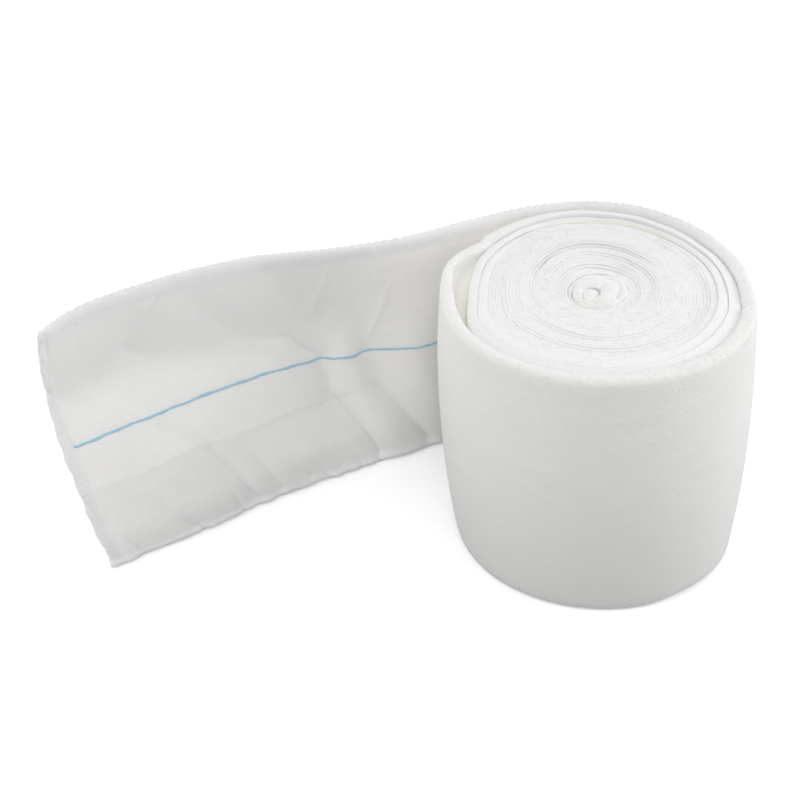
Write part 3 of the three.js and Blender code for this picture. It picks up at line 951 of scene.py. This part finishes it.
def read_slack(run):
    """The slack strip's columns at any runs along it, on straight lines from station to station."""
    at = lambda values: np.interp(run.ravel(), slack["run"] - wound_length, values).reshape(run.shape)
    return {name: at(values) if values.ndim == 1 else np.stack([at(values[:, i]) for i in (0, 1)], -1)
            for name, values in slack.items()}


def on_inner_face(run, up, proud):
    """Points on the strip's inner face, as strip_points puts them, or proud of it by that much. run, up and
    proud are arrays of one shape: how far along the slack strip, up it and out from it."""
    column = read_slack(run)
    lean, shift = leaning(column, up)
    lean = lean - strip_relief(column["end"], up)
    relief = backing_relief(column["end"], up) * ramp(column["end"], -1, END_ROUNDING)
    return place_points(column, up, lean, shift, -column["half"] - relief - proud)


def tube_caps(rings, size):
    """Two fans over the ends of a tube of that many rings and points round, without extra points."""
    fan = np.stack([np.zeros(size - 2, int), np.arange(1, size - 1), np.arange(2, size)], -1)
    return np.concatenate([fan, (rings - 1) * size + fan[:, ::-1]])


thread_end = np.arange(THREAD_LINE["end"][0], slack_length - THREAD_FROM_ROOT, THREAD_STEP)[:, None]
thread_angle = np.linspace(0, 2 * np.pi, THREAD_SIDES, endpoint=False)
wander = 0.35 * noise(41, thread_end / 9) + 0.2 * noise(42, thread_end / 3)
swell = 1 + 0.18 * noise(43, thread_end / 4) + 0.12 * noise(44, thread_end / 1.7)
thread_up = read(THREAD_LINE, thread_end, "height") + wander
thread_up = thread_up + THREAD_HALF_WIDTH * swell * np.cos(thread_angle)
thread_proud = np.where(np.sin(thread_angle) > 0, THREAD_RISE, THREAD_DEPTH) * np.sin(thread_angle) * swell
thread_run = np.broadcast_to(slack_length - thread_end, thread_up.shape)
thread_points = on_inner_face(thread_run, thread_up, thread_proud).reshape(-1, 3) * MM
thread_quads = ring_faces(0, len(thread_end), THREAD_SIDES)
thread = make_mesh("blue_thread", thread_points, [thread_quads, tube_caps(len(thread_end), THREAD_SIDES)])
thread_place = np.stack([thread_run, thread_up, thread_proud], -1) * MM
give_attribute(thread, "strip_place", "FLOAT_VECTOR", "vector", thread_place)
print("thread", 2 * len(thread_quads), "triangles along its sides")

# %% [markdown]
# ## Materials
#
# A material is a tree of nodes, which could be drawn by hand in the shader editor. Here a small class wraps
# one output of such a tree, so that the pattern of a cloth can be read as arithmetic, and its method called
# node adds any other node. A pattern reads each point's place in the strip, because the weave has to run
# along the strip wherever that turns. Its lengths are in metres, as in Blender.

# %% Shader arithmetic
class Wire:
    """One output in a material's tree. Arithmetic between wires or numbers adds Math nodes."""

    def __init__(self, tree, socket=None):
        self.tree, self.socket = tree, socket

    def node(self, kind, settings=None, sockets=None, output=0):
        """Adds a node: its settings first, then a value or a wire for each of its named or numbered
        sockets."""
        node = self.tree.nodes.new(kind)
        for name, setting in (settings or {}).items():
            setattr(node, name, setting)
        for name, value in (sockets or {}).items():
            if isinstance(value, Wire):
                self.tree.links.new(value.socket, node.inputs[name])
            else:
                node.inputs[name].default_value = value
        return Wire(self.tree, node.outputs[output])

    def math(self, operation, first, second):
        """A Math node on two wires or numbers."""
        return self.node("ShaderNodeMath", {"operation": operation}, {0: first, 1: second})

    def __add__(self, other):
        return self.math("ADD", self, other)

    def __sub__(self, other):
        return self.math("SUBTRACT", self, other)

    def __rsub__(self, other):
        return self.math("SUBTRACT", other, self)

    def __mul__(self, other):
        return self.math("MULTIPLY", self, other)

    __radd__, __rmul__ = __add__, __mul__


print("a wire has", sorted(name.strip("_") for name, value in vars(Wire).items() if callable(value)))

# %% Parts of a pattern
def scaled(place, x, y, z):
    """A place with each of its three lengths times its own factor, which stretches what is drawn on it."""
    return place.node("ShaderNodeVectorMath", {"operation": "MULTIPLY"}, {0: place, 1: (x, y, z)})


def cloud(place, size, detail=2.0):
    """Soft noise from 0 to 1 whose lumps are about that many metres across."""
    return place.node("ShaderNodeTexNoise", {}, {"Vector": place, "Scale": 1 / size, "Detail": detail})


def between(value, low, high):
    """0 where the value is low and 1 where it is high, with soft ends. low may be the larger of the two."""
    soft = {"interpolation_type": "SMOOTHSTEP"}
    return value.node("ShaderNodeMapRange", soft, {0: value, 1: low, 2: high})


def blend(mask, low, high):
    """low where the mask is 0 and high where it is 1. Both are plain colours or patterns."""
    low, high = (colour if isinstance(colour, Wire) else (*colour, 1) for colour in (low, high))
    return mask.node("ShaderNodeMix", {"data_type": "RGBA"}, {0: mask, 6: low, 7: high}, output=2)


def split(place, axis):
    """One of the three lengths of a place."""
    return place.node("ShaderNodeSeparateXYZ", {}, {0: place}, output=axis)


print("noise with lumps 2 mm across has a scale of", 1 / (2 * MM))

# %% Cloth materials
GLOW_DISTANCE = 0.004


def new_material(name, constants):
    """A material whose shader has these constants on its own sockets. Returns it and the shader."""
    material = bpy.data.materials.new(name)
    material.use_nodes = True
    shader = material.node_tree.nodes["Principled BSDF"]
    for socket, value in constants.items():
        shader.inputs[socket].default_value = value
    return material, shader


def cloth_material(name, pattern, roughness, sheen, glow):
    """A matte cloth. pattern takes the place in the strip and the depth under its upper edge, and gives the
    colour and the height of the relief. glow is the share of the light that spreads inside the loose
    padding before it comes out."""
    material, shader = new_material(name, {
        "Roughness": roughness,
        "Specular IOR Level": 0.2,
        "Sheen Weight": sheen,
        "Sheen Roughness": 0.6,
        "Subsurface Weight": glow,
        "Subsurface Radius": (1.0, 0.96, 0.9),
        "Subsurface Scale": GLOW_DISTANCE,
    })
    tree = material.node_tree
    place = Wire(tree).node("ShaderNodeAttribute", {"attribute_name": "strip_place"}, output="Vector")
    depth = Wire(tree).node("ShaderNodeAttribute", {"attribute_name": "under_edge"}, output="Fac")
    colour, relief = pattern(place, depth)
    bump = relief.node("ShaderNodeBump", {}, {"Height": relief, "Distance": 1.0, "Strength": 1.0})
    tree.links.new(colour.socket, shader.inputs["Base Color"])
    tree.links.new(bump.socket, shader.inputs["Normal"])
    return material


print("light spreads", GLOW_DISTANCE / MM, "mm inside the padding")

# %% Patterns of the padded strip
# Painted shade for the upper edges of the slack strip, and how much of it is laid on.
RIM_PAINTED_SHADE = (0.72, 0.72, 0.735)
RIM_STRENGTH = 0.85


def cover_pattern(place, depth):
    """A thin web of pressed fibres over loose padding: fine pebbles, and longer streaks along the strip.
    Painted shade makes it darker towards its foot and darkens the upper edge of the part laid open."""
    pebbles = cloud(place, 0.0016, 4.0)
    fibres = cloud(scaled(place, 1, 3, 1), 0.0030, 4.0)
    streaks = cloud(scaled(place, 0.2, 1, 1), 0.0060)
    height = pebbles * 0.00030 + fibres * 0.00022 + streaks * 0.00010
    shade = pebbles * 0.6 + streaks * 0.4
    cover_colour = blend(shade, (0.72, 0.715, 0.705), (0.84, 0.835, 0.825))
    # Painted shade: darker towards the foot.
    cover_colour = blend(between(split(place, "Y"), 0.17, 0.0), cover_colour, (0.675, 0.675, 0.665))
    laid_open = between(split(place, "X"), strip_length - 0.54, strip_length - 0.44)
    # Painted shade darkens the upper edge of the part laid open.
    return blend(laid_open * between(depth, 0.018, 0.006) * RIM_STRENGTH, cover_colour, RIM_PAINTED_SHADE), height


def wound_pattern(place, depth):
    """The felt of the wound edges, greyer on the wad at the core and where the slack turn begins, with
    painted shade on the far side of the top. Down between the turns it has painted light, pale and warm, for
    light that has been through the padding."""
    felt = cloud(place, 0.0022, 5.0)
    along, far_side = split(place, "X"), split(place.node("ShaderNodeTexCoord", output="Object"), "Y")
    wad = between(along, 0.15, 0.07)
    low = blend(wad, (0.77, 0.77, 0.77), (0.74, 0.74, 0.735))
    high = blend(wad, (0.865, 0.865, 0.865), (0.85, 0.85, 0.845))
    # Painted shade on the far side of the top.
    crown = blend(between(far_side, 0.0, 0.10) * 0.35, blend(felt, low, high), (0.70, 0.70, 0.71))
    root = between(along, (wound_length - 150) * MM, (wound_length - 30) * MM)
    crown = blend(root, crown, (0.79, 0.785, 0.775))
    # Painted light down between the turns: pale and warm.
    return blend(between(depth, 0.0006, 0.0030), crown, (0.95, 0.925, 0.85)), felt * 0.0003


def padding_pattern(place, depth):
    """The cut edge of the padding, loose and tufted."""
    tufts = cloud(place, 0.0022, 5.0)
    return blend(tufts, (0.66, 0.66, 0.66), (0.88, 0.88, 0.87)), tufts * 0.0008


wound_edge = cloth_material("edges of the wound turns", wound_pattern, roughness=0.92, sheen=0.15, glow=0.0)
cover = cloth_material("nonwoven cover", cover_pattern, roughness=0.92, sheen=0.15, glow=0.5)
padding = cloth_material("cut padding", padding_pattern, roughness=0.95, sheen=0.15, glow=0.3)
print("cover with", len(cover.node_tree.nodes), "nodes and felt with", len(wound_edge.node_tree.nodes))

# %% Patterns of the backing and its thread
def backing_pattern(place, depth):
    """A thin woven backing: two crossed sets of fine yarns, with the padding's lumps seen through it. It
    stops short of the cut end, where the thin padding is greyer, and of the lower edge, where a white hem
    shows. Away from the cut end, towards the roll, it is painted lighter against the roll's shade. Near the
    cut end its upper panel has painted shade, and below the lap, further from the cut end, it has painted
    light. Painted shade darkens its upper edge."""
    lengthwise = cloud(scaled(place, 0.08, 1, 1), 0.0011, 1.0)
    crosswise = cloud(scaled(place, 1, 0.2, 1), 0.0009, 1.0)
    lumps = cloud(place, 0.007, 3.0)
    height = lengthwise * 0.00012 + crosswise * 0.00006 + lumps * 0.00012
    shade = lengthwise * 0.3 + crosswise * 0.2 + lumps * 0.5
    along, up = split(place, "X"), split(place, "Y")
    ragged = cloud(place, 0.012, 3.0) * 0.006
    # Painted light: away from the cut end, towards the roll, the backing is lighter, against the roll's
    # shade.
    toward_cut_end = between(along, strip_length - 0.27, strip_length - 0.17)
    low = blend(toward_cut_end, (0.88, 0.87, 0.85), (0.825, 0.82, 0.81))
    high = blend(toward_cut_end, (0.97, 0.96, 0.94), (0.915, 0.91, 0.90))
    # Painted shade on the upper panel near the cut end.
    upper_panel = toward_cut_end * between(up, 0.120, 0.155) * 0.6
    woven = blend(upper_panel, blend(shade, low, high), (0.72, 0.72, 0.715))
    # Painted light below the lap, away from the cut end.
    under_lap = between(up, 0.080, 0.060) * between(along, strip_length - 0.08, strip_length - 0.15)
    woven = blend(under_lap * 0.5, woven, (0.95, 0.945, 0.935))
    bare_padding = between(along + ragged, strip_length - 0.0060, strip_length - 0.0030)
    woven = blend(bare_padding, woven, (0.82, 0.82, 0.815))
    # Painted shade along the upper edge.
    woven = blend(between(depth, 0.014, 0.004) * RIM_STRENGTH, woven, RIM_PAINTED_SHADE)
    return blend(between(up + ragged, 0.0115, 0.0085), woven, (0.95, 0.95, 0.95)), height


def thread_pattern(place, depth):
    """Yarn twisted from loose filaments: slanting lines along it, paler where it frays."""
    slant = cloud(scaled(place, 1, 2.5, 1), 0.0007, 3.0)
    return blend(slant, (0.22, 0.50, 0.68), (0.50, 0.74, 0.86)), slant * 0.0002


backing = cloth_material("woven backing", backing_pattern, roughness=0.85, sheen=0.1, glow=0.5)
blue_yarn = cloth_material("blue yarn", thread_pattern, roughness=0.8, sheen=0.1, glow=0.0)
# The order is that of the sides COVER, BACKING, CUT and WOUND.
for material in (cover, backing, padding, wound_edge):
    strip.data.materials.append(material)
thread.data.materials.append(blue_yarn)
print("materials of the strip", [material.name for material in strip.data.materials])

# %% [markdown]
# ## Lint
#
# Cut and rubbed edges of a nonwoven shed fibres, and the wound edges are one soft felt of them. Blender's
# hair could grow them, but a mesh keeps them the same in every program, so each fibre is a thin sliver with
# a bend in it. They lie nearly flat on top of the roll and stand out more along loose edges.

# %% Fibres
FIBRE_WIDTH = 0.12
FIBRE_POINTS = 7
FIBRE_TRIANGLES = 10


def fibres(roots, growth, length, random):
    """Slivers from arrays of roots, directions and lengths: a triangle at the root, a smaller one halfway
    that is pushed aside, and a tip. Returns all points and the faces, as quads and triangles."""
    count = len(roots)
    growth = growth / np.linalg.norm(growth, axis=1)[:, None]
    side = np.cross(growth, random.normal(size=(count, 3)))
    side /= np.linalg.norm(side, axis=1)[:, None]
    other = np.cross(growth, side)
    corner = np.radians([0, 120, 240])
    ring = side[:, None] * np.cos(corner)[:, None] + other[:, None] * np.sin(corner)[:, None]
    bend = side * (length * random.uniform(0.1, 0.35, count))[:, None]
    middle = roots + growth * length[:, None] / 2 + bend
    tip = roots + growth * length[:, None]
    low = roots[:, None] + ring * FIBRE_WIDTH / 2
    high = middle[:, None] + ring * FIBRE_WIDTH * 0.4
    points = np.concatenate([low, high, tip[:, None]], 1).reshape(-1, 3)
    first = np.arange(count)[:, None, None] * FIBRE_POINTS
    walls = first + np.array([(0, 1, 4, 3), (1, 2, 5, 4), (2, 0, 3, 5)])
    ends = first + np.array([(0, 2, 1), (3, 4, 6), (4, 5, 6), (5, 3, 6)])
    return points, walls.reshape(-1, 4), ends.reshape(-1, 3)


def edge_roots(block, columns, count, random):
    """Random places on chosen columns of a block of the strip's points, even along it, and the skin's
    normals."""
    points, normal = block
    spacing = np.linalg.norm(np.diff(points[:, columns[0]], axis=0), axis=1)
    ring = np.searchsorted(np.cumsum(spacing) / spacing.sum(), random.uniform(size=count))
    column = random.choice(columns, count)
    share = random.uniform(size=count)[:, None]
    place = points[ring, column] * (1 - share) + points[ring + 1, column] * share
    return place, normal[ring, column]


normals = np.empty(points.size)
strip.data.vertex_normals.foreach_get("vector", normals)
blocks, at = [], 0
for part, stations in parts:
    shape = (stations["run"].size, part["across"].size, 3)
    count = shape[0] * shape[1]
    blocks.append([values.reshape(-1, 3)[at:at + count].reshape(shape) for values in (points / MM, normals)])
    at += count
print("blocks of points", [block[0].shape[:2] for block in blocks])

# %% Lint along the edges
LINT_SEED = 7
FIBRE_SPREAD = 0.45
NEAR_FLOOR = 12
FLOOR_CLEARANCE = 0.05
CUT_STATIONS = 6

wound_block, slack_block, free_block = blocks
cut_block = [values[-CUT_STATIONS:] for values in free_block]
slack_round, free_round = (np.arange(part["across"].size) for part in (SLACK, FREE))
free_foot = np.append(free_round[-6:], free_round[:3])
random = np.random.default_rng(LINT_SEED)
# Roots on an edge, how far the skin's normal turns the fibres outwards, and their shortest and longest
# length.
groups = (
    ("felt on the wound edges", edge_roots(wound_block, PACKED["rim"][1:-1], 5000, random), 0.3, (1.5, 4.5)),
    ("slack rim", edge_roots(slack_block, SLACK["rim"], 2600, random), 0.45, (1, 3.2)),
    ("free end's upper edge", edge_roots(free_block, FREE["rim"], 1500, random), 0.7, (1, 2.8)),
    ("cut end", edge_roots(cut_block, free_round, 900, random), 0.7, (1.2, 3.5)),
    ("free end's lower edge", edge_roots(free_block, free_foot, 1300, random), 0.6, (1.2, 3.5)),
    ("slack turn's lower edge", edge_roots(slack_block, slack_round[-7:], 700, random), 0.6, (1.2, 3)),
)
lint_points, lint_walls, lint_ends = [], [], []
for _, (roots, normal), outwards, (shortest, longest) in groups:
    growth = normal * outwards + random.normal(size=roots.shape) * FIBRE_SPREAD
    growth[:, 2] = np.where(roots[:, 2] < NEAR_FLOOR, np.abs(growth[:, 2]) * 0.5, growth[:, 2])
    new_points, walls, ends = fibres(roots, growth, random.uniform(shortest, longest, len(roots)), random)
    before = sum(map(len, lint_points))
    lint_walls.append(walls + before)
    lint_ends.append(ends + before)
    lint_points.append(new_points)
lint_points = np.concatenate(lint_points)
lint_points[:, 2] = lint_points[:, 2].clip(FLOOR_CLEARANCE, None)
lint = make_mesh("edge_lint", lint_points * MM, [np.concatenate(lint_walls), np.concatenate(lint_ends)])
loose_fibre, _ = new_material("loose fibres", {"Base Color": (0.92, 0.92, 0.92, 1), "Roughness": 1.0})
lint.data.materials.append(loose_fibre)
print("lint", {name: FIBRE_TRIANGLES * len(roots) for name, (roots, _), _, _ in groups}, "triangles")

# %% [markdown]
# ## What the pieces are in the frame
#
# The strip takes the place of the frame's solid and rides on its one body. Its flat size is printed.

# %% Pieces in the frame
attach(strip, "root")
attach(thread, "root")
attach(lint, "root")
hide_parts("dressing_roll")
print("flat strip", STRIP_WIDTH * MM, "by", round(strip_length, 2), "m")

# %% [markdown]
# ## Floor and light
#
# The picture shows the roll on pure white, but the light on it says that the table under it was grey:
# leaning cloth that faces up is clearly brighter than upright cloth. So there are two floors. A white one
# is seen but sends no light up and casts no shadow, and a grey one just under it sends up what a table
# would. The light is soft: a pale room, a softbox over the front, one at the right and weaker ones
# elsewhere.

# %% Floors
FLOOR_SIZE = 8
floor_corners = np.array([(-1, -1, 0), (1, -1, 0), (1, 1, 0), (-1, 1, 0)]) * FLOOR_SIZE / 2


def plain_floor(name, drop, shade, shine):
    """A square floor, that far under the roll. shine is the light it gives off itself."""
    floor = make_mesh(name, floor_corners - (0, 0, drop), [np.array([[0, 1, 2, 3]])])
    paint, _ = new_material(name, {
        "Base Color": (shade, shade, shade, 1),
        "Roughness": 1.0,
        "Specular IOR Level": 0.0,
        "Emission Color": (1, 1, 1, 1),
        "Emission Strength": shine,
    })
    floor.data.materials.append(paint)
    floor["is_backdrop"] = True
    return floor


seen_floor = plain_floor("white_floor", drop=0.0004, shade=0.95, shine=0.27)
seen_floor.visible_diffuse = seen_floor.visible_shadow = False
plain_floor("grey_floor", drop=0.0008, shade=0.65, shine=0.0)
print("floors", FLOOR_SIZE, "m wide")

# %% Lights
ROOM_STRENGTH = 0.6


def softbox(name, place, aim_height, size, power):
    """A square area light, turned so that its own -Z axis looks at a height over the middle of the roll."""
    light = bpy.data.lights.new(name, "AREA")
    light.shape, light.size, light.energy = "SQUARE", size, power
    lamp = bpy.data.objects.new(name, light)
    lamp.rotation_euler = (Vector((0, 0, aim_height)) - Vector(place)).to_track_quat("-Z", "Y").to_euler()
    lamp.location = place
    bpy.context.collection.objects.link(lamp)


softbox("overhead softbox", (0, 0.3, 1.7), aim_height=0, size=1.8, power=4)
softbox("front overhead softbox", (-0.1, -0.6, 1.6), aim_height=0, size=1.0, power=4.5)
softbox("right softbox", (1.6, 0.1, 0.8), aim_height=0.1, size=1.0, power=13)
softbox("left softbox", (-1.6, -0.3, 0.7), aim_height=0.1, size=1.0, power=4)
softbox("left front softbox", (-1.1, -1.3, 0.5), aim_height=0.1, size=1.0, power=2.4)
softbox("left back softbox", (-1.3, 1.1, 0.7), aim_height=0.1, size=1.0, power=3)
room = bpy.data.worlds.new("room")
room.use_nodes = True
room.node_tree.nodes["Background"].inputs["Color"].default_value = (1, 1, 1, 1)
room.node_tree.nodes["Background"].inputs["Strength"].default_value = ROOM_STRENGTH
bpy.context.scene.world = room
bpy.context.scene.view_settings.view_transform = "Standard"

# %% [markdown] ## Sizes The box of the dressed model is printed, beside that of the frame's solid.
# The dressed model has to stay within the box of the frame's solid, with a little room for fibres.

# %% Sizes
look_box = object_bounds()
{"cad": [list(corner) for corner in cad_box], "scene": [list(corner) for corner in look_box]}
print("scene box in metres", [[round(x, 4) for x in corner] for corner in look_box])
